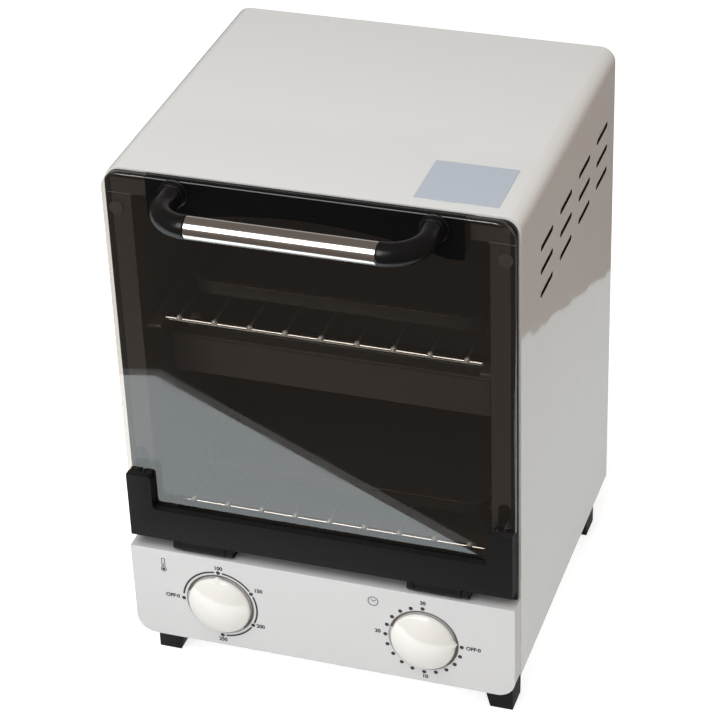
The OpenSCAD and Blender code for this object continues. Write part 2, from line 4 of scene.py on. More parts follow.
import bmesh
import bpy
import numpy as np
from mathutils import Matrix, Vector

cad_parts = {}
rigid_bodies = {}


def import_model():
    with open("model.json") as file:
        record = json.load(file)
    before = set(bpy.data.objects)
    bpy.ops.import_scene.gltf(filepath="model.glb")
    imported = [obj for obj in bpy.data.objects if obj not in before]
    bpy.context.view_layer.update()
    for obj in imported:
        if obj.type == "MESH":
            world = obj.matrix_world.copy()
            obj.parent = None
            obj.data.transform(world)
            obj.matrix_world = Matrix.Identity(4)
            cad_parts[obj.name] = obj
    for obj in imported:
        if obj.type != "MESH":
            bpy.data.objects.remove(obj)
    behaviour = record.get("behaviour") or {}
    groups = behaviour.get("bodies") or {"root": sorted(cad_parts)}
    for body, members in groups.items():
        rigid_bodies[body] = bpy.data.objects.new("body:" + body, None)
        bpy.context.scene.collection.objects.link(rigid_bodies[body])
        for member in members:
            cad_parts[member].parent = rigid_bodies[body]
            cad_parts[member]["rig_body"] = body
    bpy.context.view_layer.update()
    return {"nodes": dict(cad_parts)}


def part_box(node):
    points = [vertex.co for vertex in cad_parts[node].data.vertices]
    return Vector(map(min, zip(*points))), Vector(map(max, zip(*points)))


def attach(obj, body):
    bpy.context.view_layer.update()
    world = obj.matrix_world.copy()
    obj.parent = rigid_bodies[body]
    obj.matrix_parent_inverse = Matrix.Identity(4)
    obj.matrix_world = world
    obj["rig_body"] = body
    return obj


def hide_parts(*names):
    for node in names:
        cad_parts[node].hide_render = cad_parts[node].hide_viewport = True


bl_info = {
    "name": "Compact Oven Dressing",
    "version": (1, 0, 0),
    "blender": (4, 5, 0),
    "location": "View3D > Sidebar > Oven",
    "description": "Finishes, rounded skins, wires, dial print and studio for an upright compact oven",
    "category": "Object",
}

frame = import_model()

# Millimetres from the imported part. X runs across, Y back from the panel's front face, Z up from the bench.
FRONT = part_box("control_panel")[0].y * 1000


def box_mm(node):
    """Lower and upper corner of a node's box."""
    lo, hi = (np.array(v) * 1000 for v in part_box(node))
    return lo - (0, FRONT, 0), hi - (0, FRONT, 0)


GRIP_LO, GRIP_HI = box_mm("handle_grip")
ELBOW_LO, ELBOW_HI = box_mm("handle_elbow_right")
COLLAR_LO, COLLAR_HI = box_mm("handle_collars")
KNOB_LO, KNOB_HI = box_mm("temperature_knob")
KNOB_RADIUS = (KNOB_HI[0] - KNOB_LO[0]) / 2
DIAL_X = (KNOB_LO[0] + KNOB_HI[0]) / 2
DIAL_Z = sum(corner[2] for corner in box_mm("timer_knob")) / 2


# ---------------- settings


def length(name, description, default, low, high):
    """A length in millimetres that the sidebar shows."""
    description += ", mm"
    return bpy.props.FloatProperty(name=name, description=description, default=default, min=low, max=high)


class OvenSizes(bpy.types.PropertyGroup):
    """Lengths of the dressed pieces, in millimetres"""

    edge_round: length("Sheet edge", "Rounding of folded sheet edges", 0.35, 0.1, 0.5)
    panel_round: length("Panel edge", "Rounding of the control panel's edges", 1.2, 0.3, 1.4)
    plastic_round: length("Plastic edge", "Rounding of moulded edges", 0.8, 0.2, 1.2)
    glass_round: length("Glass edge", "Ground radius along the glass", 1.1, 0.4, 2.0)
    bend_radius: length("Handle bend", "Radius of the handle's bends on their axis", 21.0, 16.0, 24.0)
    knob_beak: length("Knob beak", "How far the pointer stands out of a knob's rim", 1.7, 0.5, 1.7)
    bar_count: bpy.props.IntProperty(
        name="Rack bars", description="Bars across each rack", default=9, min=5, max=13
    )


def paint(name, description, colour):
    """A colour that the sidebar shows."""
    return bpy.props.FloatVectorProperty(
        name=name, description=description, subtype="COLOR", default=colour, min=0, max=1
    )


class OvenFinishes(bpy.types.PropertyGroup):
    """Colours of the surfaces"""

    enamel: paint("Case enamel", "White of the case", (0.74, 0.735, 0.72))
    panel: paint("Panel enamel", "Grey-white of the control panel", (0.645, 0.645, 0.65))
    ivory: paint("Knob ivory", "Moulded knob colour", (0.845, 0.825, 0.785))
    black: paint("Moulded black", "Rail, elbows, feet and cover", (0.0085, 0.008, 0.0083))
    steel: paint("Grip steel", "Steel tube of the handle", (0.78, 0.74, 0.71))
    smoke: paint("Glass smoke", "What one face of the glass lets through", (0.78, 0.755, 0.73))
    liner: paint("Liner", "Sheet of the cavity", (0.085, 0.077, 0.069))
    ink: paint("Dial ink", "Printed marks round the knobs", (0.010, 0.010, 0.012))
    label: paint("Blank label", "Film of the bare label on the top", (0.46, 0.505, 0.56))


# ---------------- surfaces

MANY_SIDES = 20  # a face of this many sides or more is the flat end of a tube
DOUBLE = 2e-6  # metres within which two corners of a CAD mesh are one
FLAT, FOLD = 0.4, 32.0  # degrees up to which two faces are one, and from which a skin rounds their edge


def linked(name, data):
    """A new object in the scene."""
    piece = bpy.data.objects.new(name, data)
    bpy.context.scene.collection.objects.link(piece)
    return piece


def coords(*axes):
    """Points from their coordinates. A single number holds for every point."""
    return np.stack(np.broadcast_arrays(*axes), -1)


def circle(sides):
    """Angles all the way round, without the last, which is the first again."""
    return np.linspace(0, 2 * np.pi, sides, endpoint=False)


def quarter(count):
    """Angles from 0 to a right angle."""
    return np.linspace(0, np.pi / 2, count)


def build(name, points, faces, material, body, slot, replaces=(), sharp=40.0, sheet=False, fill=0):
    """One mesh from points in millimetres, panel-front coordinates, and faces as index lists or an (n, 4)
    array. The points are moved back by FRONT and scaled to metres; edges steeper than sharp stay crisp, and
    faces of many sides, the flat ends, are shaded flat. Open ends of up to fill sides are closed, and every
    face is turned outwards, except in an open sheet."""
    pts = np.asarray(points, float).reshape(-1, 3).copy()
    pts[:, 1] += FRONT
    mesh = bpy.data.meshes.new(name)
    mesh.from_pydata((pts * 0.001).tolist(), [], [list(map(int, f)) for f in faces])
    mesh.validate()
    mesh.update()
    mesh.shade_smooth()
    mesh.set_sharp_from_angle(angle=math.radians(sharp))
    for poly in mesh.polygons:
        poly.use_smooth = len(poly.vertices) < MANY_SIDES
    mesh.materials.append(material)
    piece = linked(name, mesh)
    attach(piece, body)
    if replaces:
        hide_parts(*replaces)
    if not sheet:
        outward(piece, fill)
    return piece


def outward(piece, fill):
    """Closes open ends of up to fill sides and turns every face outwards."""
    bm = bmesh.new()
    bm.from_mesh(piece.data)
    if fill:
        bmesh.ops.holes_fill(bm, edges=bm.edges, sides=fill)
    bmesh.ops.recalc_face_normals(bm, faces=bm.faces)
    bm.to_mesh(piece.data)
    bm.free()


def face_front(piece, whole=False):
    """Turns the faces of a print that look into the panel or the door, +Y: each for itself, or as a
    whole."""
    bm = bmesh.new()
    bm.from_mesh(piece.data)
    bm.normal_update()
    turned = [f for f in bm.faces if f.normal.y > 0]
    if whole:
        turned = bm.faces if sum(f.normal.y * f.calc_area() for f in bm.faces) > 0 else []
    if turned:
        bmesh.ops.reverse_faces(bm, faces=turned)
    bm.to_mesh(piece.data)
    bm.free()


def merge(parts):
    """The points and the faces of several parts as one."""
    points, faces, start = [], [], 0
    for part, part_faces in parts:
        points.append(np.reshape(part, (-1, 3)))
        faces += [[int(i) + start for i in face] for face in part_faces]
        start += len(points[-1])
    return np.concatenate(points), faces


def grid_faces(rows, cols, wrap_rows=False, wrap_cols=True):
    """Quads of a rows by cols grid of points, row after row, joined end to end where wrapped."""
    r = np.arange(rows if wrap_rows else rows - 1)
    c = np.arange(cols if wrap_cols else cols - 1)
    a, b = np.meshgrid(r, c, indexing="ij")
    a2, b2 = (a + 1) % rows, (b + 1) % cols
    return np.stack([a * cols + b, a2 * cols + b, a2 * cols + b2, a * cols + b2], -1).reshape(-1, 4)


def sweep(path, radius, normal, sides=32):
    """A tube: circles of the given radii, one per path point, in the plane across the path's direction.
    Point (i, j) is path i plus radius i times (cos a side + sin a normal), with side = direction x
    normal."""
    path = np.asarray(path, float)
    step = np.gradient(path, axis=0)
    step /= np.linalg.norm(step, axis=1, keepdims=True)
    up = np.asarray(normal, float)
    side = np.cross(step, up)
    side /= np.linalg.norm(side, axis=1, keepdims=True)
    a = circle(sides)
    ring = np.cos(a)[None, :, None] * side[:, None, :] + np.sin(a)[None, :, None] * up
    return path[:, None, :] + np.broadcast_to(radius, len(path))[:, None, None] * ring


def closed_tube(rings):
    """Points and faces of a tube of rings, with a flat many-sided face over each end."""
    rows, cols = rings.shape[:2]
    faces = grid_faces(rows, cols).tolist()
    faces.append(list(range(cols)))
    faces.append([(rows - 1) * cols + j for j in range(cols - 1, -1, -1)])
    return rings.reshape(-1, 3), faces


def lathe_y(profile, x, z, sides=64):
    """A turned piece on an axis along Y at x, z. The profile is (y, radius) pairs from the front to the
    back."""
    a = circle(sides)
    y, radius = np.array(profile).T[:, :, None]
    return coords(x + radius * np.cos(a), y, z + radius * np.sin(a))


def rounded_rectangle(x0, x1, y0, y1, radius, per_corner=10):
    """Points round a rectangle with quarter-circle corners, counter-clockwise from the lower right
    corner."""
    x0, x1, y0, y1 = x0 + radius, x1 - radius, y0 + radius, y1 - radius
    sides = []
    for (x, y), start in zip(((x1, y0), (x1, y1), (x0, y1), (x0, y0)), np.radians([-90, 0, 90, 180])):
        a = start + quarter(per_corner)
        sides.append(coords(x + radius * np.cos(a), y + radius * np.sin(a)))
    return np.concatenate(sides)


def inset(outline, distance):
    """A closed counter-clockwise outline moved inwards: each point goes along the mitre of its two edges."""
    ahead = np.roll(outline, -1, 0) - outline
    ahead /= np.linalg.norm(ahead, axis=1, keepdims=True)
    behind = np.roll(ahead, 1, 0)
    n1, n0 = (coords(-edge[:, 1], edge[:, 0]) for edge in (ahead, behind))
    mitre = (n0 + n1) / (1 + (n0 * n1).sum(1, keepdims=True))
    return outline + mitre * distance


def skin(node, width, material, segments=3):
    """A copy of a CAD node with its doubles merged and a rounded edge of the given width, mm, along every
    fold. It stands for the node, on the node's own body. Broad flat faces stay flat; the narrow ones turn
    the light."""
    source = frame["nodes"][node]
    mesh = bpy.data.meshes.new(node + "_skin")
    bm = bmesh.new()
    bm.from_mesh(source.data)
    bmesh.ops.remove_doubles(bm, verts=bm.verts, dist=DOUBLE)
    bmesh.ops.dissolve_limit(bm, angle_limit=math.radians(FLAT), verts=bm.verts, edges=bm.edges)
    for f in bm.faces:
        f.smooth = True
    bm.to_mesh(mesh)
    bm.free()
    mesh.materials.append(material)
    piece = linked(node + "_skin", mesh)
    bevel = piece.modifiers.new("edges", "BEVEL")
    bevel.width = width * 0.001
    bevel.segments = segments
    bevel.limit_method = "ANGLE"
    bevel.angle_limit = math.radians(FOLD)
    bevel.miter_outer = "MITER_ARC"
    normals = piece.modifiers.new("shading", "WEIGHTED_NORMAL")
    normals.keep_sharp = True
    normals.weight = 100
    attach(piece, source["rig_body"])
    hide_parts(node)
    return piece


def repaint(names, material):
    """Gives CAD nodes whose shape is right a finished material."""
    for name in names:
        data = frame["nodes"][name].data
        data.materials.clear()
        data.materials.append(material)


# ---------------- materials

# Metres: where the case's vent slots lie in Y and in Z, and how far in from the case's outer face painted
# shade darkens their cut edges.
VENTS_Y, VENTS_Z = (-0.055, 0.122), (0.281, 0.323)
VENT_SHADE_INSET = 0.00014

# Heights of the bumps in metres, the scale of the coat's ripple, and the range of pointiness on convex edges.
GRAIN_HEIGHT, RIPPLE_HEIGHT, RIPPLE_SCALE = 0.0002, 0.0006, 34
CONVEX = (0.53, 0.62)


class Shading:
    """Builds the nodes of a material or a world. An input is linked where it is given an output, and set
    where it is given a value."""

    def __init__(self, owner):
        owner.use_nodes = True
        self.nodes, self.link = owner.node_tree.nodes, owner.node_tree.links.new

    def put(self, node, inputs):
        for key, value in inputs.items():
            if isinstance(value, bpy.types.NodeSocket):
                self.link(value, node.inputs[key])
            else:
                node.inputs[key].default_value = value

    def add(self, kind, out, inputs=None, **settings):
        """A new node, of which the named output is given back."""
        node = self.nodes.new("ShaderNode" + kind)
        for key, value in settings.items():
            setattr(node, key, value)
        self.put(node, inputs or {})
        return node.outputs[out]

    def by_ray(self, lit, mirrored, seen):
        """The first shader for the light it gives, the second in reflections, the third to the eye and
        through glass."""
        path = self.nodes.new("ShaderNodeLightPath").outputs
        rays = {0: path["Is Camera Ray"], 1: path["Is Transmission Ray"]}
        either = self.add("Math", 0, rays, operation="MAXIMUM")
        unseen = self.add("MixShader", 0, {"Fac": path["Is Glossy Ray"], 1: lit, 2: mirrored})
        return self.add("MixShader", 0, {"Fac": either, 1: unseen, 2: seen})


def shade(colour):
    """A colour within bounds, with an alpha of 1."""
    return (*np.clip(colour, 0, 1), 1)


def finish(
    name, base, rough=0.4, metal=0.0, tone=0.03, tone_scale=30.0, rough_span=0.06, grain=0.05,
    grain_scale=1200.0, stretch=(1, 1, 1), specular=0.5, coat=0.0, coat_rough=0.1, coat_ior=1.5, wear_and_highlight=0.0,
    ripple=0.0,
):
    """A worked surface: cloudy tone and roughness from a coarse noise, a fine grain as bump, and where they
    are set, a paler line along convex edges, partly edge wear and partly a painted edge highlight, and a slow
    ripple in the clear coat."""
    found = bpy.data.materials.get(name)
    if found:
        return found
    mat = bpy.data.materials.new(name)
    tree = Shading(mat)
    base = np.array(base[:3])
    where = tree.add("TexCoord", "Object")
    place = tree.add("Mapping", "Vector", {"Vector": where, "Scale": stretch})
    cloud = tree.add("TexNoise", "Fac", {"Vector": place, "Scale": tone_scale, "Detail": 5})
    fine = tree.add("TexNoise", "Fac", {"Vector": place, "Scale": grain_scale, "Detail": 3})
    tones = {"Factor": cloud, "A": shade(base * (1 - tone)), "B": shade(base * (1 + tone))}
    colour = tree.add("Mix", "Result", tones, data_type="RGBA")
    # Paler convex edges: edge wear together with a painted highlight along the edges.
    if wear_and_highlight:
        edge = tree.add("NewGeometry", "Pointiness")
        span = {"Value": edge, "From Min": CONVEX[0], "From Max": CONVEX[1], "To Max": wear_and_highlight}
        worn_and_lit = {"Factor": tree.add("MapRange", "Result", span), "A": colour, "B": shade(base * 0.5 + 0.35)}
        colour = tree.add("Mix", "Result", worn_and_lit, data_type="RGBA")
    span = {"Value": cloud, "To Min": max(rough - rough_span, 0.02), "To Max": rough + rough_span}
    surface = {
        "Base Color": colour, "Roughness": tree.add("MapRange", "Result", span), "Metallic": metal,
        "Normal": tree.add("Bump", "Normal", {"Height": fine, "Strength": grain, "Distance": GRAIN_HEIGHT}),
        "Specular IOR Level": specular,
        "Coat Weight": coat, "Coat Roughness": coat_rough, "Coat IOR": coat_ior,
    }
    if ripple:
        slow = tree.add("TexNoise", "Fac", {"Vector": where, "Scale": RIPPLE_SCALE, "Detail": 1})
        wave = {"Height": slow, "Strength": ripple, "Distance": RIPPLE_HEIGHT}
        surface["Coat Normal"] = tree.add("Bump", "Normal", wave)
    tree.put(tree.nodes["Principled BSDF"], surface)
    return mat


def painted_where(mat, name, colour, tests, together="MAXIMUM"):
    """Lays a second colour where the tests pass. A test compares a position in metres, or the size of X,
    with a limit. Together is MAXIMUM where one test is enough, MULTIPLY where all must pass."""
    tree = Shading(mat)
    if name in tree.nodes:
        return mat
    shader = tree.nodes["Principled BSDF"]
    place = tree.nodes.new("ShaderNodeSeparateXYZ")
    tree.put(place, {0: tree.add("TexCoord", "Object")})
    axes = {axis: place.outputs[axis] for axis in "XYZ"}
    axes["|X|"] = tree.add("Math", 0, {0: axes["X"]}, operation="ABSOLUTE")
    held = None
    for axis, operation, limit in tests:
        test = tree.add("Math", 0, {0: axes[axis], 1: limit}, operation=operation)
        held = test if held is None else tree.add("Math", 0, {0: held, 1: test}, operation=together)
    under = shader.inputs["Base Color"].links[0].from_socket
    layers = {"Factor": held, "A": under, "B": (*colour, 1)}
    tree.put(shader, {"Base Color": tree.add("Mix", "Result", layers, data_type="RGBA", name=name)})
    return mat


def smoked_glass(tint):
    """Dark float glass: clear through with a brown tint, and a mirror by Fresnel from outside, a weak even
    mirror from inside, with faint streaks left by a cloth."""
    mat = bpy.data.materials.new("smoked_glass_polished")
    tree = Shading(mat)
    tree.nodes.remove(tree.nodes["Principled BSDF"])
    where = tree.add("TexCoord", "Object")
    place = tree.add("Mapping", "Vector", {"Vector": where, "Scale": (18, 18, 5), "Rotation": (0, 0.5, 0)})
    streak = tree.add("TexNoise", "Fac", {"Vector": place, "Scale": 3.0, "Detail": 4})
    span = {"Value": streak, "From Min": 0.4, "From Max": 0.8, "To Min": 0.012, "To Max": 0.05}
    gloss = tree.add("MapRange", "Result", span)
    clear = tree.add("BsdfTransparent", 0, {"Color": (*tint, 1)})
    mirror = tree.add("BsdfGlossy", 0, {"Color": (1, 1, 1, 1), "Roughness": gloss})
    outside = tree.add("Fresnel", 0, {"IOR": 1.85})
    inside = tree.add("NewGeometry", "Backfacing")
    share = tree.add("Mix", "Result", {"Factor": inside, "A": outside, "B": 0.045})
    mixed = tree.add("MixShader", 0, {"Fac": share, 1: clear, 2: mirror})
    tree.put(tree.nodes["Material Output"], {"Surface": mixed})
    return mat


def paints():
    """Every finish of the oven, by name."""
    f = bpy.context.scene.oven_finishes
    black = np.array(f.black)
    case_side, pane_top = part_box("outer_shell")[1].x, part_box("door_glass")[1].z
    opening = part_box("front_frame")[1]
    # Painted shade: the vent slots' cut edges, inside the case's outer face, are painted near black where
    # shade fills the slots.
    vents = (
        ("|X|", "LESS_THAN", case_side - VENT_SHADE_INSET),
        ("Y", "GREATER_THAN", VENTS_Y[0]), ("Y", "LESS_THAN", VENTS_Y[1]),
        ("Z", "GREATER_THAN", VENTS_Z[0]), ("Z", "LESS_THAN", VENTS_Z[1]),
    )
    # Painted shade: near black along the sides and top of the front frame, where shade fills the gap behind
    # the pane's edge.
    rim = (("|X|", "GREATER_THAN", opening.x - 0.004), ("Z", "GREATER_THAN", opening.z - 0.004))
    # Painted highlight: a thin pale line on the black film where it wraps over the pane's rounded top edge.
    edge = (("Z", "GREATER_THAN", pane_top - 0.0007), ("Z", "LESS_THAN", pane_top - 0.0002))
    smooth_black = dict(rough=0.3, tone=0.1, tone_scale=120, rough_span=0.04, grain=0.1, specular=0.1)
    return {
        # Case enamel, with painted shade on the vent slots' cut edges.
        "enamel": painted_where(
            finish("case_enamel", f.enamel, 0.4, tone=0.012, tone_scale=9, rough_span=0.04, grain=0.10,
                   grain_scale=420, specular=0.15, coat=1.0, coat_rough=0.035, ripple=0.22),
            "vent_painted_shade", (0.012, 0.011, 0.010), vents, "MULTIPLY"),
        "panel": finish(
            "panel_enamel", f.panel, 0.42, tone=0.012, tone_scale=14, rough_span=0.04, grain=0.12,
            grain_scale=500, coat=0.2, coat_rough=0.2),
        "black": finish(
            "moulded_black", black, 0.5, tone=0.12, tone_scale=120, rough_span=0.07, grain=0.22,
            grain_scale=1800, specular=0.085, wear_and_highlight=0.02),
        "foot": finish(
            "foot_black", black * 1.5, 0.6, tone=0.12, tone_scale=120, rough_span=0.07, grain=0.2,
            grain_scale=1500, specular=0.14, wear_and_highlight=0.03),
        "elbow": finish(
            "handle_black", black * 0.75, 0.22, tone=0.15, tone_scale=160, rough_span=0.05, grain=0.35,
            grain_scale=900, specular=0.26, wear_and_highlight=0.015),
        "cover": finish("cover_black", black * 0.4, **smooth_black),
        # Black film on the pane, with its painted edge highlight.
        "film_band": painted_where(
            finish("band_black", black * 0.4, **smooth_black), "edge", (0.13, 0.13, 0.13), edge, "MULTIPLY"),
        "ivory": finish(
            "knob_ivory", f.ivory, 0.4, tone=0.008, tone_scale=60, rough_span=0.03, grain=0.02,
            grain_scale=900, specular=0.1, coat=1.0, coat_rough=0.01, coat_ior=1.7),
        # Painted shadow for the knob dishes.
        "dish_painted_shadow": finish(
            "dish_painted_shadow_ring", (0.20, 0.175, 0.155), 0.6, tone=0.2, tone_scale=70, rough_span=0.05, grain=0.1,
            specular=0.1),
        "steel": finish(
            "grip_steel", f.steel, 0.13, metal=1.0, tone=0.05, tone_scale=60, rough_span=0.03, grain=0.06,
            grain_scale=900, stretch=(0.03, 1, 1)),
        "plated": finish(
            "plated_sheet", (0.60, 0.60, 0.58), 0.38, metal=0.9, tone=0.08, tone_scale=45, rough_span=0.1,
            grain=0.12, grain_scale=800),
        "liner": finish(
            "cavity_sheet", f.liner, 0.48, metal=0.35, tone=0.10, tone_scale=25, rough_span=0.08, grain=0.2,
            grain_scale=700),
        # Frame sheet, with painted shade in a strip along its rim.
        "fascia": painted_where(
            finish("frame_sheet", (0.078, 0.074, 0.072), 0.42, metal=0.3, tone=0.05, tone_scale=22,
                   grain=0.15, grain_scale=800),
            "rim_painted_shade", (0.006, 0.006, 0.006), rim),
        "guard": finish(
            "guard_sheet", (0.062, 0.058, 0.056), 0.6, metal=0.2, tone=0.22, tone_scale=420, rough_span=0.1,
            grain=0.5, grain_scale=900),
        "tray": finish(
            "tray_sheet", (0.036, 0.034, 0.032), 0.36, metal=0.2, tone=0.06, tone_scale=50, specular=0.25,
            rough_span=0.08, grain=0.15, grain_scale=900, stretch=(0.06, 1, 1)),
        # Painted highlight: the tray's rolled rim in a light colour, though it is the same steel as the dark
        # tray sheet.
        "lip": finish("tray_rim_painted_highlight", (0.72, 0.71, 0.69), 0.36, metal=0.25, tone=0.06, tone_scale=90, grain=0.1),
        "bar": finish(
            "dull_wire", (0.30, 0.295, 0.29), 0.42, metal=1.0, tone=0.08, tone_scale=180, grain=0.1,
            grain_scale=1500),
        "wire": finish(
            "bright_wire", (0.26, 0.30, 0.34), 0.17, metal=1.0, tone=0.05, tone_scale=180, rough_span=0.04,
            grain=0.06, grain_scale=1500),
        # Painted highlight: the weld beads near white, far lighter than the wire they join.
        "bead": finish(
            "weld_bead_painted_highlight", (0.93, 0.98, 1.0), 0.2, metal=0.3, tone=0.04, tone_scale=300, grain=0.08,
            specular=1.0),
        "heater": finish(
            "heater_tube", (0.20, 0.19, 0.185), 0.45, metal=0.8, tone=0.25, tone_scale=60, rough_span=0.1,
            grain=0.25, grain_scale=900),
        "ceramic": finish(
            "white_ceramic", (0.78, 0.75, 0.68), 0.55, tone=0.05, tone_scale=90, grain=0.2, grain_scale=1500),
        "brass": finish(
            "bell_brass", (0.75, 0.58, 0.28), 0.28, metal=1.0, tone=0.08, tone_scale=60, grain=0.06),
        "sleeve": finish(
            "wire_sleeve", (0.48, 0.08, 0.06), 0.55, tone=0.08, tone_scale=200, grain=0.3, grain_scale=2500),
        "bumper": finish("clear_rubber", (0.095, 0.09, 0.087), 0.5, tone=0.05, tone_scale=200, grain=0.1),
        "film": finish(
            "label_film", f.label, 0.45, tone=0.015, tone_scale=70, rough_span=0.03, grain=0.06,
            grain_scale=1500, coat=0.15, coat_rough=0.2),
        "ink": finish("dial_ink", f.ink, 0.5, tone=0.2, tone_scale=900, rough_span=0.05),
    }


# ---------------- stage

FOCAL_LENGTH = 131.2
CAMERA_PLACE = (0.46054, -1.32039, 1.08342)
CAMERA_AZIMUTH, CAMERA_ELEVATION, CAMERA_ROLL = 19.464, 32.472, -2.287
WARM, WHITE = (1.0, 0.985, 0.965), (1.0, 0.995, 0.99)

# Place, width and height in metres, power in watts, colour.
LAMPS = {
    "front_softbox": ((-0.55, -1.62, 1.42), (2.0, 1.9), 14.6, WARM),
    "low_fill": ((-0.75, -1.75, 0.3), (1.2, 0.5), 5.0, WARM),
    "top_fill": ((-0.14, -0.56, 1.3), (1.0, 1.0), 10.6, WHITE),
    "side_fill": ((2.2, 0.75, 0.9), (1.3, 1.5), 15.0, (1.0, 0.81, 0.67)),
}

# Outline of the white board that the pane mirrors, and how its glow falls along Y: from and to, glow at each.
BOARD = (
    (-0.248, -0.418), (0.28, -0.15), (0.302, 0.21), (0.24, 0.349), (0.221, 0.407), (0.202, 0.464),
    (0.05, 0.86), (-1.2, 0.8), (-1.2, -0.196),
)
BOARD_FALL = (-0.205, -0.1, 1.9, 0.66)
BACK_CARD = ((-2.2, 2.4, 0.1), (2.2, 2.4, 0.1), (2.2, 2.4, 1.7), (-2.2, 2.4, 1.7))


class OVEN_OT_stage(bpy.types.Operator):
    """Pale floor, white surround, lamps and the camera"""

    bl_idname = "oven.stage"
    bl_label = "Studio and camera"

    def execute(self, context):
        scene = context.scene
        scene.view_settings.view_transform = "Standard"
        self.world(scene)
        self.floor()
        self.cards()
        self.lamps()
        self.camera(scene)
        return {"FINISHED"}

    def world(self, scene):
        """White to the eye and through glass, dim for the light it gives, warm and darker in reflections."""
        world = bpy.data.worlds.new("studio")
        tree = Shading(world)
        glow = tree.nodes["Background"]
        tree.put(glow, {"Color": (0.95, 0.97, 1.0, 1), "Strength": 0.22})
        mirrored = tree.add("Background", 0, {"Color": (1.0, 0.88, 0.78, 1), "Strength": 0.16})
        seen = tree.add("Background", 0, {"Color": (1, 1, 1, 1)})
        tree.put(tree.nodes["World Output"], {"Surface": tree.by_ray(glow.outputs[0], mirrored, seen)})
        scene.world = world

    def sheet(self, name, corners, material):
        """A flat face between corners, and the tree of its material, whose output is still free."""
        mesh = bpy.data.meshes.new(name)
        mesh.from_pydata(corners, [], [tuple(range(len(corners)))])
        mat = bpy.data.materials.new(material)
        tree = Shading(mat)
        tree.nodes.remove(tree.nodes["Principled BSDF"])
        mesh.materials.append(mat)
        return linked(name, mesh), tree

    def floor(self):
        """A paper floor, a little brighter to the eye, and darker in reflections the nearer it is to the
        oven."""
        piece, tree = self.sheet("floor", [(-9, -9, 0), (9, -9, 0), (9, 9, 0), (-9, 9, 0)], "pale_floor")
        paper = tree.add("BsdfDiffuse", 0, {"Color": (0.9, 0.9, 0.9, 1)})
        seen = tree.add("AddShader", 0, {0: paper, 1: tree.add("Emission", 0, {"Strength": 0.7})})
        lit = tree.add("BsdfDiffuse", 0, {"Color": (0.84, 0.82, 0.80, 1)})
        far = tree.add("VectorMath", "Value", {0: tree.add("TexCoord", "Object")}, operation="LENGTH")
        span = {"Value": far, "From Min": 0.85, "From Max": 2.0, "To Min": 0.12, "To Max": 0.15}
        fall = tree.add("MapRange", "Result", span)
        mirrored = tree.add("Emission", 0, {"Color": (1.0, 0.84, 0.74, 1), "Strength": fall})
        tree.put(tree.nodes["Material Output"], {"Surface": tree.by_ray(lit, mirrored, seen)})

    def cards(self):
        """A white board under the oven, a pale card behind it and a bright one with a halo in front, all
        seen in reflections alone."""
        self.card("board", [(x, y, 0.0006) for x, y in BOARD], (0.9, 0.98, 1.0), 1.9, fall=BOARD_FALL)
        self.card("back_card", BACK_CARD, (1, 0.97, 0.94), 0.4)
        self.card("key_halo", self.quad((-0.56, -1.65, 1.47), 1.7, 1.6), (1.0, 0.97, 0.93), 1.1)
        self.card("key_card", self.quad((-0.55, -1.62, 1.45), 1.35, 1.15), (1.0, 0.99, 0.97), 6.0)

    def card(self, name, corners, colour, strength, fall=None):
        """A glowing face; where it has a fall, its strength changes along Y."""
        piece, tree = self.sheet(name, corners, name)
        if fall:
            place = tree.add("SeparateXYZ", "Y", {0: tree.add("TexCoord", "Object")})
            span = dict(zip(("From Min", "From Max", "To Min", "To Max"), fall))
            strength = tree.add("MapRange", "Result", {"Value": place, **span})
        glow = tree.add("Emission", 0, {"Color": (*colour, 1), "Strength": strength})
        tree.put(tree.nodes["Material Output"], {"Surface": glow})
        for ray in ("camera", "diffuse", "transmission", "shadow"):
            setattr(piece, "visible_" + ray, False)

    def lamps(self):
        for name, (place, size, power, colour) in LAMPS.items():
            lamp = bpy.data.lights.new(name, "AREA")
            lamp.shape = "RECTANGLE"
            lamp.size, lamp.size_y = size
            lamp.energy = power
            lamp.color = colour
            piece = linked(name, lamp)
            turn = Matrix([list(v) for v in np.stack(self.facing(place), 1)]).to_4x4()
            piece.matrix_world = Matrix.Translation(place) @ turn
            piece.visible_glossy = False

    def quad(self, place, width, height):
        """Corners of an upright card at place that faces the oven."""
        x, y, _ = self.facing(place)
        corners = ((-1, -1), (1, -1), (1, 1), (-1, 1))
        return [tuple(np.array(place) + x * a * width / 2 + y * b * height / 2) for a, b in corners]

    def facing(self, place):
        """Right, up and back axes of something at place that looks at the middle of the oven."""
        back = np.array(place) - np.array([0, 0, 0.2])
        z = back / np.linalg.norm(back)
        x = np.cross([0.0, 1.0, 0.0] if abs(z[2]) > 0.98 else [0.0, 0.0, 1.0], z)
        x /= np.linalg.norm(x)
        return x, np.cross(z, x), z

    def camera(self, scene):
        data = bpy.data.cameras.new("camera")
        data.sensor_width = 36.0
        data.lens = FOCAL_LENGTH
        piece = linked("camera", data)
        turn = (
            Matrix.Rotation(math.radians(CAMERA_AZIMUTH), 4, "Z")
            @ Matrix.Rotation(math.radians(90 - CAMERA_ELEVATION), 4, "X")
            @ Matrix.Rotation(math.radians(CAMERA_ROLL), 4, "Z")
        )
        piece.matrix_world = Matrix.Translation(CAMERA_PLACE) @ turn
        scene.camera = piece


# ---------------- case


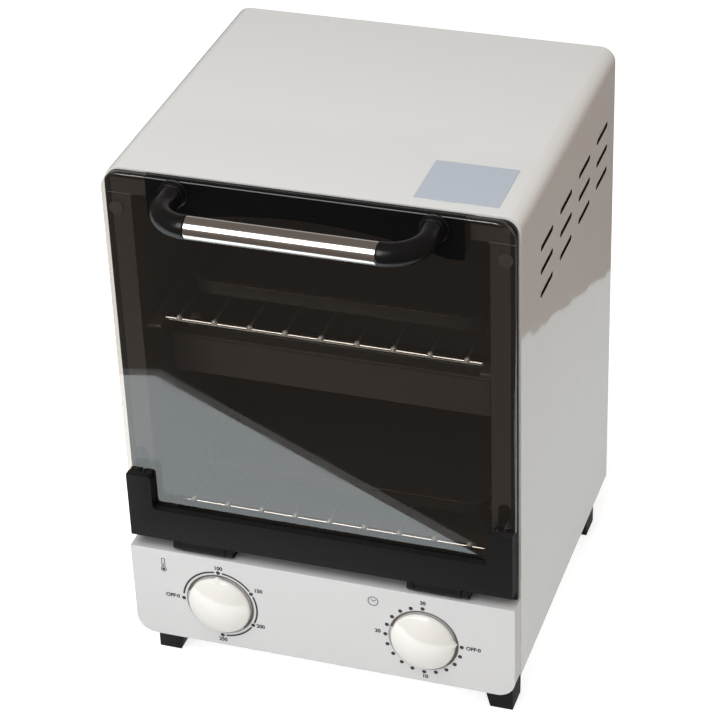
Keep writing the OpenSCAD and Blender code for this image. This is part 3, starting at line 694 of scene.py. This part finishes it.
class OVEN_OT_case(bpy.types.Operator):
    """Folded case, back, base, feet, frame, panel and label"""

    bl_idname = "oven.case"
    bl_label = "Case and panel"

    def execute(self, context):
        s, p = context.scene.oven_sizes, paints()
        skin("outer_shell", s.edge_round, p["enamel"])
        skin("back_panel", s.edge_round, p["enamel"], segments=2)
        skin("control_panel", s.panel_round, p["panel"], segments=4)
        skin("front_frame", 0.3, p["fascia"], segments=2)
        self.folds(p["bar"])
        for feet in ("front_feet", "rear_feet"):
            skin(feet, s.plastic_round, p["foot"])
        skin("top_label", 0.12, p["film"], segments=1)
        skin("cord_gland", 0.6, p["black"])
        skin("back_screws", 0.5, p["plated"])
        repaint(["base_plate", "control_plate", "foot_screws"], p["plated"])
        return {"FINISHED"}

    def folds(self, bright):
        """A bright folded edge across each post of the front frame, level with the top of the opening."""
        lo, hi = box_mm("front_frame")
        below_top, inner, outer, proud, radius, steps = 14.3, 15.4, 1.2, 0.05, 0.24, 12
        run = np.linspace(hi[0] - inner, hi[0] - outer, steps)
        parts = []
        for side in (-1, 1):
            path = coords(side * run, lo[1] - proud, hi[2] - below_top)
            parts.append(closed_tube(sweep(path, radius, (0, 0, 1), 10)))
        build("frame_folds", *merge(parts), bright, "oven", "plated_steel")


class OVEN_OT_works(bpy.types.Operator):
    """Switches, bell, terminals and wiring behind the panel"""

    bl_idname = "oven.works"
    bl_label = "Works behind the panel"

    def execute(self, context):
        p = paints()
        repaint(["thermostat", "timer_body"], p["black"])
        repaint(["timer_bell"], p["brass"])
        repaint(["terminal_block", "element_bushes"], p["ceramic"])
        repaint(["wire_loom"], p["sleeve"])
        repaint(["temperature_shaft", "timer_shaft"], p["plated"])
        return {"FINISHED"}


class OVEN_OT_cavity(bpy.types.Operator):
    """Walls, runners, heaters and the guard of the cavity"""

    bl_idname = "oven.cavity"
    bl_label = "Cavity and heaters"

    def execute(self, context):
        p = paints()
        repaint(["cavity_wall_left", "cavity_wall_right", "cavity_roof", "cavity_floor"], p["liner"])
        skin("cavity_back", 1.2, p["liner"])
        for side in ("left", "right"):
            skin("rack_runner_" + side, 0.3, p["liner"], segments=2)
        skin("middle_guard", 0.4, p["guard"], segments=2)
        for level in ("upper", "middle", "lower"):
            repaint([level + "_element_front", level + "_element_rear"], p["heater"])
        return {"FINISHED"}


# ---------------- door


class OVEN_OT_glass(bpy.types.Operator):
    """Smoked pane with a ground round edge"""

    bl_idname = "oven.glass"
    bl_label = "Door glass"

    def execute(self, context):
        e = context.scene.oven_sizes.glass_round
        (_, front, foot), (half, back, top) = box_mm("door_glass")
        neck, step, corner = 112.0, 148.8, 12.0
        a = quarter(24)
        bend = coords(half - corner + corner * np.cos(a), top - corner + corner * np.sin(a))
        right = np.concatenate([[(neck, foot), (neck, step), (half, step)], bend])
        outline = np.concatenate([right, right[::-1] * [-1, 1]])
        levels = [(e - e * math.sin(q), front + e - e * math.cos(q)) for q in quarter(7)]
        levels += [(e - e * math.cos(q), back - e + e * math.sin(q)) for q in quarter(7)]
        ground = np.where(outline[:, 1] < step + 1, 0.12, 1.0)[:, None]
        rings = np.stack([
            np.insert(outline + (inset(outline, d) - outline) * ground, 1, y, axis=1) for d, y in levels
        ])
        pts, faces = closed_tube(rings)
        smoke = smoked_glass(context.scene.oven_finishes.smoke)
        build("door_glass_pane", pts, faces, smoke, "door", "smoked_glass", replaces=("door_glass",),
              sharp=50)
        self.band(top, front, e)
        return {"FINISHED"}

    def band(self, top, front, e):
        """A black film on the pane in front of the cover, wrapped over the ground edge. Its lower side is
        an arch: height = foot + rise (1 - (x / half)^2) within half, foot beyond it, and a quarter circle
        at each end."""
        (_, _, foot), (end, _, _) = box_mm("handle_cover")
        half, rise, corner, proud, wrap = end - 11.2, 11.6, 3.0, 0.06, 3.4
        turn = end - corner + corner * np.sin(quarter(8))
        right = np.concatenate([np.linspace(half, end - corner, 4), turn])
        x = np.unique(np.concatenate([np.linspace(-half, half, 61), right, -right]).round(4))
        beyond = np.clip(np.abs(x) - (end - corner), 0, corner)
        arch = foot + rise * np.clip(1 - (x / half) ** 2, 0, None)
        under = arch + corner - np.sqrt(corner ** 2 - beyond ** 2)
        rows = [(front - proud, under + (top - e - under) * u) for u in (0.0, 0.5, 1.0)]
        r = e + proud
        rows += [(front + e - r * math.cos(q), top - e + r * math.sin(q)) for q in quarter(7)[1:]]
        rows.append((front + wrap, top + proud))
        pts = np.stack([coords(x, y, z) for y, z in rows])
        faces = grid_faces(len(rows), len(x), wrap_cols=False)
        black = paints()["film_band"]
        film = build("cover_band", pts, faces, black, "door", "black_plastic", sharp=50, sheet=True)
        face_front(film, whole=True)


class OVEN_OT_door(bpy.types.Operator):
    """Bottom rail, cover behind the glass, hinges, stays and bumpers"""

    bl_idname = "oven.door"
    bl_label = "Door furniture"

    def execute(self, context):
        s, p = context.scene.oven_sizes, paints()
        skin("door_rail", s.plastic_round, p["black"])
        skin("handle_cover", 0.5, p["cover"])
        for side in ("left", "right"):
            skin("hinge_bracket_" + side, 0.4, p["black"], segments=2)
        skin("door_bumpers", 0.3, p["bumper"], segments=2)
        repaint(["hinge_pins", "stay_pins", "handle_screws"], p["plated"])
        for side in ("left", "right"):
            skin("stay_arm_" + side, 0.2, p["plated"], segments=2)
        return {"FINISHED"}


class OVEN_OT_handle(bpy.types.Operator):
    """Steel tube, two moulded elbows and their collars"""

    bl_idname = "oven.handle"
    bl_label = "Handle"

    def execute(self, context):
        s, p = context.scene.oven_sizes, paints()
        _, y, z = (GRIP_LO + GRIP_HI) / 2
        half = GRIP_HI[0]
        x = ELBOW_HI[0] - (ELBOW_HI[2] - ELBOW_LO[2]) / 2
        self.tube(p["steel"], half, y, z, (GRIP_HI[2] - GRIP_LO[2]) / 2)
        for side, name in ((1, "right"), (-1, "left")):
            self.elbow(name, side, x, y, z, half, s.bend_radius, p["elbow"])
        self.collars(x, z, p["elbow"])
        return {"FINISHED"}

    def tube(self, steel, half, y, z, r):
        """A straight tube on X whose ends turn in by a small quarter round."""
        lip, steps, sides = 0.5, 40, 96
        t = quarter(6)
        ends = coords(-half + lip - lip * np.cos(t), r - lip + lip * np.sin(t))
        middle = coords(np.linspace(-half + 2 * lip, half - 2 * lip, steps), r)
        run, radius = np.concatenate([ends, middle, ends[::-1] * [-1, 1]]).T
        a, radius = circle(sides), radius[:, None]
        pts, faces = closed_tube(coords(run[:, None], y + radius * np.cos(a), z + radius * np.sin(a)))
        build("handle_grip_tube", pts, faces, steel, "door", "bright_steel", replaces=("handle_grip",),
              sharp=60)

    def elbow(self, name, side, x, y, z, half, bend, black):
        """A moulded bend: straight out from the glass, a quarter circle, then along to the tube. Its radius
        swells a little at both mouths and rounds over where it meets the tube."""
        start, end, steps = COLLAR_LO[1] - 0.1, half - 0.02, 13
        leg = np.linspace(start, y + bend, steps + 1)[:-1]
        a = quarter(40)
        run = np.linspace(x - bend, end, steps + 1)[1:]
        px = np.concatenate([np.full(steps, x), x - bend + bend * np.cos(a), run])
        py = np.concatenate([leg, y + bend - bend * np.sin(a), np.full(steps, y)])
        path = coords(px, py, z)
        gone = np.concatenate([[0], np.cumsum(np.linalg.norm(np.diff(path, axis=0), axis=1))])
        left = gone[-1] - gone
        widest, swell, rounding = (ELBOW_HI[2] - ELBOW_LO[2]) / 2 - 0.09, 0.2, 0.5
        mouths = np.exp(-((left - 2.0) / 2.5) ** 2) + np.exp(-((gone - 1.5) / 3) ** 2)
        radius = widest - swell + swell * mouths - rounding * np.exp(-left / 0.35)
        rings = sweep(path, radius, (0, 0, 1), 64)
        if side < 0:
            rings = (rings * [-1, 1, 1])[:, ::-1]
        pts, faces = closed_tube(rings)
        build("handle_elbow_" + name + "_moulded", pts, faces, black, "door", "black_plastic",
              replaces=("handle_elbow_" + name,), sharp=50)

    def collars(self, x, z, black):
        """Two turned collars: a flat flange with a rolled lip against the glass, and a stub behind it."""
        y0, y1 = COLLAR_LO[1], COLLAR_HI[1]
        flange = COLLAR_HI[2] - z
        ring, lip, step = flange - 0.9, 0.45, 0.4
        profile = [(y0, ring - 1.6)]
        profile += [(y0 + lip - lip * math.cos(q), ring - lip + lip * math.sin(q)) for q in quarter(6)]
        profile += [(y0 + 1.2, ring), (y0 + 1.5, ring - step), (y1 - 1.3, ring - step)]
        profile += [(y1 - 1.2, flange - step), (y1 - 0.9, flange), (y1, flange)]
        pts, faces = merge([closed_tube(lathe_y(profile, cx, z)) for cx in (x, -x)])
        build("handle_collars_turned", pts, faces, black, "door", "black_plastic",
              replaces=("handle_collars",), sharp=45)


# ---------------- knobs and print


class OVEN_OT_knobs(bpy.types.Operator):
    """Two domed knobs, each with a small beak on its rim"""

    bl_idname = "oven.knobs"
    bl_label = "Knobs"

    def execute(self, context):
        ivory = paints()["ivory"]
        self.knob("temperature_knob", DIAL_X, 90.0, "temperature_dial", ivory)
        self.knob("timer_knob", -DIAL_X, 6.0, "timer_dial", ivory)
        return {"FINISHED"}

    def knob(self, node, x, towards, body, ivory):
        """Rings from the crown to the back of the skirt. The dome is a cap of a sphere as far as the
        shoulder, the shoulder part of an ellipse, and the skirt draws in towards the panel. The beak is a
        ridge added to the radius at the angle towards, in degrees, and widest at the rim."""
        (_, front, _), (_, back, _) = box_mm(node)
        r, z = KNOB_RADIUS, DIAL_Z
        crown, back = front + 1.2, back - 0.6
        shoulder, rim = -3.8, -1.2
        inner = r - 1.9
        slope = 2 * math.atan((shoulder - crown) / inner)
        sphere = inner / math.sin(slope)
        q = np.linspace(0.02, 1, 36) * slope
        t = np.linspace(0.0, 1, 12)[1:] * (np.pi / 2 - slope) + slope
        run, drop = np.sin(t) - math.sin(slope), math.cos(slope) - np.cos(t)
        skirt = [r - 0.3, r - 1.2, r - 1.5]
        radius = np.concatenate([sphere * np.sin(q), inner + (r - inner) * run / run[-1], skirt])
        fall = shoulder + (rim - shoulder) * drop / drop[-1]
        depth = np.concatenate([crown + sphere * (1 - np.cos(q)), fall, [-0.4, 0.2, back]])
        a = circle(240)
        off = (np.degrees(a) - towards + 180) % 360 - 180
        half_width, begins = 8.0, 0.8
        ridge = np.clip(1 - np.abs(off) / half_width, 0, 1) ** 1.1
        share = np.clip((radius / r - begins) / (1 - begins), 0, 1) ** 1.2
        beak = bpy.context.scene.oven_sizes.knob_beak
        out = radius[:, None] + beak * share[:, None] * ridge[None, :]
        pts = coords(x + out * np.cos(a), depth[:, None], z + out * np.sin(a))
        rows, cols = out.shape
        faces = grid_faces(rows, cols).tolist()
        centre = rows * cols
        flat = np.concatenate([pts.reshape(-1, 3), [[x, crown, z]]])
        faces += [[centre, j, (j + 1) % cols] for j in range(cols)]
        faces.append([(rows - 1) * cols + j for j in range(cols)])
        build(node + "_dome", flat, faces, ivory, body, "ivory_plastic", replaces=(node,), sharp=38)


class OVEN_OT_print(bpy.types.Operator):
    """Arc, dots, plain numbers and two small signs printed round the knobs, and a painted shadow in each
    knob's dish
    """

    bl_idname = "oven.print_marks"
    bl_label = "Dial print"

    RING, DOT = 25.0, 1.38  # radius of the ring of dots and of a dot
    LETTER, FATTENED = 3.8, 0.171  # size of the figures, and how far their outline is moved out

    def execute(self, context):
        self.ink, self.y = paints()["ink"], -0.06
        self.temperature(DIAL_X, DIAL_Z)
        self.timer(-DIAL_X, DIAL_Z)
        # Painted shadow: a dark part-ring on the dish floor over the top and right of each knob, where the
        # knob and the dish's lip cast shade; it is laid like the print, through the same ink attribute.
        self.ink, self.y = paints()["dish_painted_shadow"], 1.32
        rim = (KNOB_RADIUS, KNOB_RADIUS + 1.9, -50, 165)
        self.join("dish_painted_shadow_ring", [self.band(x, DIAL_Z, *rim) for x in (DIAL_X, -DIAL_X)])
        return {"FINISHED"}

    def band(self, cx, cz, r0, r1, a0, a1, n=60):
        """Part of a ring between two radii, from angle a0 to a1 in degrees."""
        a = np.radians(np.linspace(a0, a1, n))
        return np.stack([coords(cx + r * np.cos(a), cz + r * np.sin(a)) for r in (r1, r0)])

    def stroke(self, x, z, bottom, top, half=0.25):
        """An upright stroke, from bottom to top above z."""
        return [[(x + side, z + bottom), (x + side, z + top)] for side in (-half, half)]

    def dots(self, x, z, degrees):
        """Dots round a dial."""
        return [self.band(x + self.RING * math.cos(a), z + self.RING * math.sin(a), 0.0, self.DOT, 0, 360, 25)
                for a in np.radians(degrees)]

    def join(self, name, patches):
        """One flat piece, a print or the painted dish shadow, from patches of two or more rows of points."""
        parts = []
        for rows in map(np.array, patches):
            faces = grid_faces(*rows.shape[:2], wrap_cols=False)
            parts.append((coords(rows[..., 0], self.y, rows[..., 1]), faces))
        face_front(build(name, *merge(parts), self.ink, "oven", "panel_paint", sheet=True))

    def words(self, name, items):
        """Numbers set in the plain built-in face, turned into one mesh standing on the panel."""
        parts = []
        for text, cx, cz in items:
            curve = bpy.data.curves.new("t", "FONT")
            curve.body = text
            curve.size = self.LETTER
            curve.align_x = curve.align_y = "CENTER"
            curve.offset = self.FATTENED
            carrier = linked("t", curve)
            bpy.context.view_layer.update()
            solved = carrier.evaluated_get(bpy.context.evaluated_depsgraph_get())
            flat = bpy.data.meshes.new_from_object(solved)
            co = np.zeros(len(flat.vertices) * 3)
            flat.vertices.foreach_get("co", co)
            across, up, _ = co.reshape(-1, 3).T
            faces = [tuple(poly.vertices) for poly in flat.polygons]
            parts.append((coords(cx + across, self.y, cz + up), faces))
            bpy.data.objects.remove(carrier)
            bpy.data.curves.remove(curve)
            bpy.data.meshes.remove(flat)
        face_front(build(name, *merge(parts), self.ink, "oven", "panel_paint", sheet=True))

    def temperature(self, x, z):
        """The arc between the numbers, the dots on it, and a thermometer: a bulb in a ring with a stem."""
        r, half = self.RING, 0.62
        arcs = ((172, 96), (84, 35), (25, -25), (-35, -84))
        patches = [self.band(x, z, r - half, r + half, *arc) for arc in arcs]
        patches += self.dots(x, z, [180, 90, 30, -30, -90])
        bulb, low = x - 37.4, z + 20.6
        patches.append(self.band(bulb, low, 0.0, 1.1, 0, 360, 25))
        patches.append(self.band(bulb, low, 1.5, 2.0, 125, 415, 30))
        patches += [self.stroke(bulb + side, low, 1.3, 7.6) for side in (-1.0, 1.0)]
        patches.append(self.band(bulb, low + 7.5, 0.75, 1.25, 0, 180, 20))
        patches.append(self.stroke(bulb, low, 0.0, 4.6))
        self.join("temperature_marks", patches)
        self.words("temperature_numbers", [
            ("OFF·0", x - 32.6, z + 0.5), ("100", x + 0.2, z + 28.4), ("150", x + 26.6, z + 15.8),
            ("200", x + 26.8, z - 12.6), ("250", x + 0.2, z - 28.5),
        ])

    def timer(self, x, z):
        """Sixteen dots, and a clock: a ring with two hands."""
        patches = self.dots(x, z, -18.0 * np.arange(16))
        centre = np.array([x - 32.4, z + 24.3])
        patches.append(self.band(*centre, 3.0, 3.55, 0, 360, 48))
        for hand in ((-1.3, 1.5), (1.9, 1.2)):
            n = np.array([-hand[1], hand[0]]) / np.linalg.norm(hand) * 0.26
            patches.append([[centre + side, centre + hand + side] for side in (-n, n)])
        self.join("timer_marks", patches)
        self.words("timer_numbers", [
            ("30", x + 0.2, z + 29.4), ("20", x - 30.0, z + 1.4), ("10", x + 0.6, z - 28.5),
            ("OFF·0", x + 32.6, z - 0.2),
        ])


# ---------------- racks


class OVEN_OT_racks(bpy.types.Operator):
    """Two wire racks with weld beads, and the shallow trays on them"""

    bl_idname = "oven.racks"
    bl_label = "Racks and trays"

    def execute(self, context):
        p = paints()
        for level in ("upper", "lower"):
            self.rack(level, p["wire"], p["bar"], p["bead"])
            self.tray(level, p["tray"], p["lip"])
        return {"FINISHED"}

    def rack(self, level, wire, bar, lit_bead_paint):
        """A closed frame wire with rounded corners, straight bars across it, and a bead on each bar's front
        end: every piece is a tube, circles carried along a path, and a bead is a tube whose radius is a
        half sine. The beads are painted near white, a painted highlight."""
        lo, hi = box_mm(level + "_rack")
        r, bar_r, bead_r, corner = 1.5, 0.85, 1.9, 3.0
        steps, bead_steps, sides = 16, 11, 14
        z = lo[2] + r
        y0, y1, x1 = lo[1] + 2.9, hi[1] - 1.0, hi[0] - r
        loop = rounded_rectangle(-x1, x1, y0, y1, corner, 9)
        along = np.roll(loop, -1, 0) - np.roll(loop, 1, 0)
        along /= np.linalg.norm(along, axis=1, keepdims=True)
        a = circle(sides)
        (x, y), (east, north) = loop.T[:, :, None], along.T[:, :, None]
        rings = coords(x + r * np.cos(a) * north, y - r * np.cos(a) * east, z + r * np.sin(a))
        count, margin = bpy.context.scene.oven_sizes.bar_count, 11.6
        run = np.linspace(y0 - 0.6, y1 + 0.6, steps)
        q = np.linspace(0.03, np.pi - 0.03, bead_steps)
        bars, beads = [], []
        for x in (np.arange(count) - (count - 1) / 2) * 2 * (x1 - margin) / (count - 1):
            path = coords(x, run, z + r + 0.3)
            bars.append((sweep(path, bar_r, (0, 0, 1), 12), grid_faces(steps, 12)))
            lump = coords(x, y0 - 0.8 - bead_r * np.cos(q), z + r)
            beads.append((sweep(lump, bead_r * np.sin(q), (0, 0, 1), sides), grid_faces(bead_steps, sides)))
        build(level + "_rack_wires", rings, grid_faces(len(loop), sides, wrap_rows=True), wire,
              "rack_" + level, "bright_wire", replaces=(level + "_rack",), sharp=70)
        for end, parts, mat in (("_rack_bars", bars, bar), ("_rack_beads", beads, lit_bead_paint)):
            build(level + end, *merge(parts), mat, "rack_" + level, "bright_wire", sharp=70, fill=sides)

    def tray(self, level, sheet, bright):
        """A pressed tray: a rounded rectangle drawn in by each step of a profile that runs down the
        outside, over the bottom, up the inside and out over the rolled rim. A lip, a round bead carried along
        the same outline, tops the rim; it is painted far lighter than the tray sheet, a painted highlight on
        the rim."""
        (x0, y0, base), (x1, y1, top) = box_mm(level + "_tray")
        draw, thick, fillet, rim, corner, middle, bead = 2.0, 0.8, 3.0, 0.75, 16.0, 15.0, 0.42
        t = quarter(7)
        outside = [(draw + fillet - fillet * math.cos(q), base + fillet - fillet * math.sin(q)) for q in t]
        wall, floor, inner = draw + thick, base + thick, fillet - thick
        inside = [(wall + inner - inner * math.cos(q), floor + inner - inner * math.sin(q)) for q in t]
        turn = np.linspace(-np.pi / 2, np.pi / 2, 12)
        roll = [(rim - rim * math.cos(q), top - rim + rim * math.sin(q)) for q in turn]
        profile = [(middle, base)] + outside[::-1] + [(draw, top - 2 * rim - 0.1)] + roll
        profile += [(draw + 0.3, top), (wall, top - 0.5)] + inside + [(middle, floor)]

        def loop(d, z):
            flat = rounded_rectangle(x0 + d, x1 - d, y0 + d, y1 - d, max(corner - d, 0.5), 12)
            return np.insert(flat, 2, z, axis=1)

        pts, faces = closed_tube(np.stack([loop(d, z) for d, z in profile]))
        build(level + "_tray_pressed", pts, faces, sheet, "rack_" + level, "tray_steel",
              replaces=(level + "_tray",), sharp=45)
        rings = np.stack([loop(rim + bead * np.cos(q), top - bead + bead * np.sin(q)) for q in circle(10)])
        build(level + "_tray_rim_painted_highlight", rings, grid_faces(*rings.shape[:2], wrap_rows=True), bright,
              "rack_" + level, "tray_steel", sharp=70)


# ---------------- panel in the sidebar


OPERATORS = (
    OVEN_OT_stage, OVEN_OT_case, OVEN_OT_works, OVEN_OT_cavity, OVEN_OT_glass, OVEN_OT_door, OVEN_OT_handle,
    OVEN_OT_knobs, OVEN_OT_print, OVEN_OT_racks,
)


class OVEN_PT_sidebar(bpy.types.Panel):
    """Sizes, colours and pieces of the oven"""

    bl_label = "Compact oven"
    bl_idname = "OVEN_PT_sidebar"
    bl_space_type = "VIEW_3D"
    bl_region_type = "UI"
    bl_category = "Oven"

    def draw(self, context):
        for group in (context.scene.oven_sizes, context.scene.oven_finishes):
            box = self.layout.box()
            for key in group.__annotations__:
                box.prop(group, key)
        for op in OPERATORS:
            self.layout.operator(op.bl_idname, text=op.bl_label)


CLASSES = (OvenSizes, OvenFinishes, *OPERATORS, OVEN_PT_sidebar)


def register():
    for c in CLASSES:
        bpy.utils.register_class(c)
    bpy.types.Scene.oven_sizes = bpy.props.PointerProperty(type=OvenSizes)
    bpy.types.Scene.oven_finishes = bpy.props.PointerProperty(type=OvenFinishes)


def unregister():
    del bpy.types.Scene.oven_finishes
    del bpy.types.Scene.oven_sizes
    for c in reversed(CLASSES):
        bpy.utils.unregister_class(c)


def main():
    register()
    bpy.ops.oven.stage()
    bpy.ops.oven.case()
    bpy.ops.oven.works()
    bpy.ops.oven.cavity()
    bpy.ops.oven.glass()
    bpy.ops.oven.door()
    bpy.ops.oven.handle()
    bpy.ops.oven.knobs()
    bpy.ops.oven.print_marks()
    bpy.ops.oven.racks()


if __name__ == "__main__":
    main()
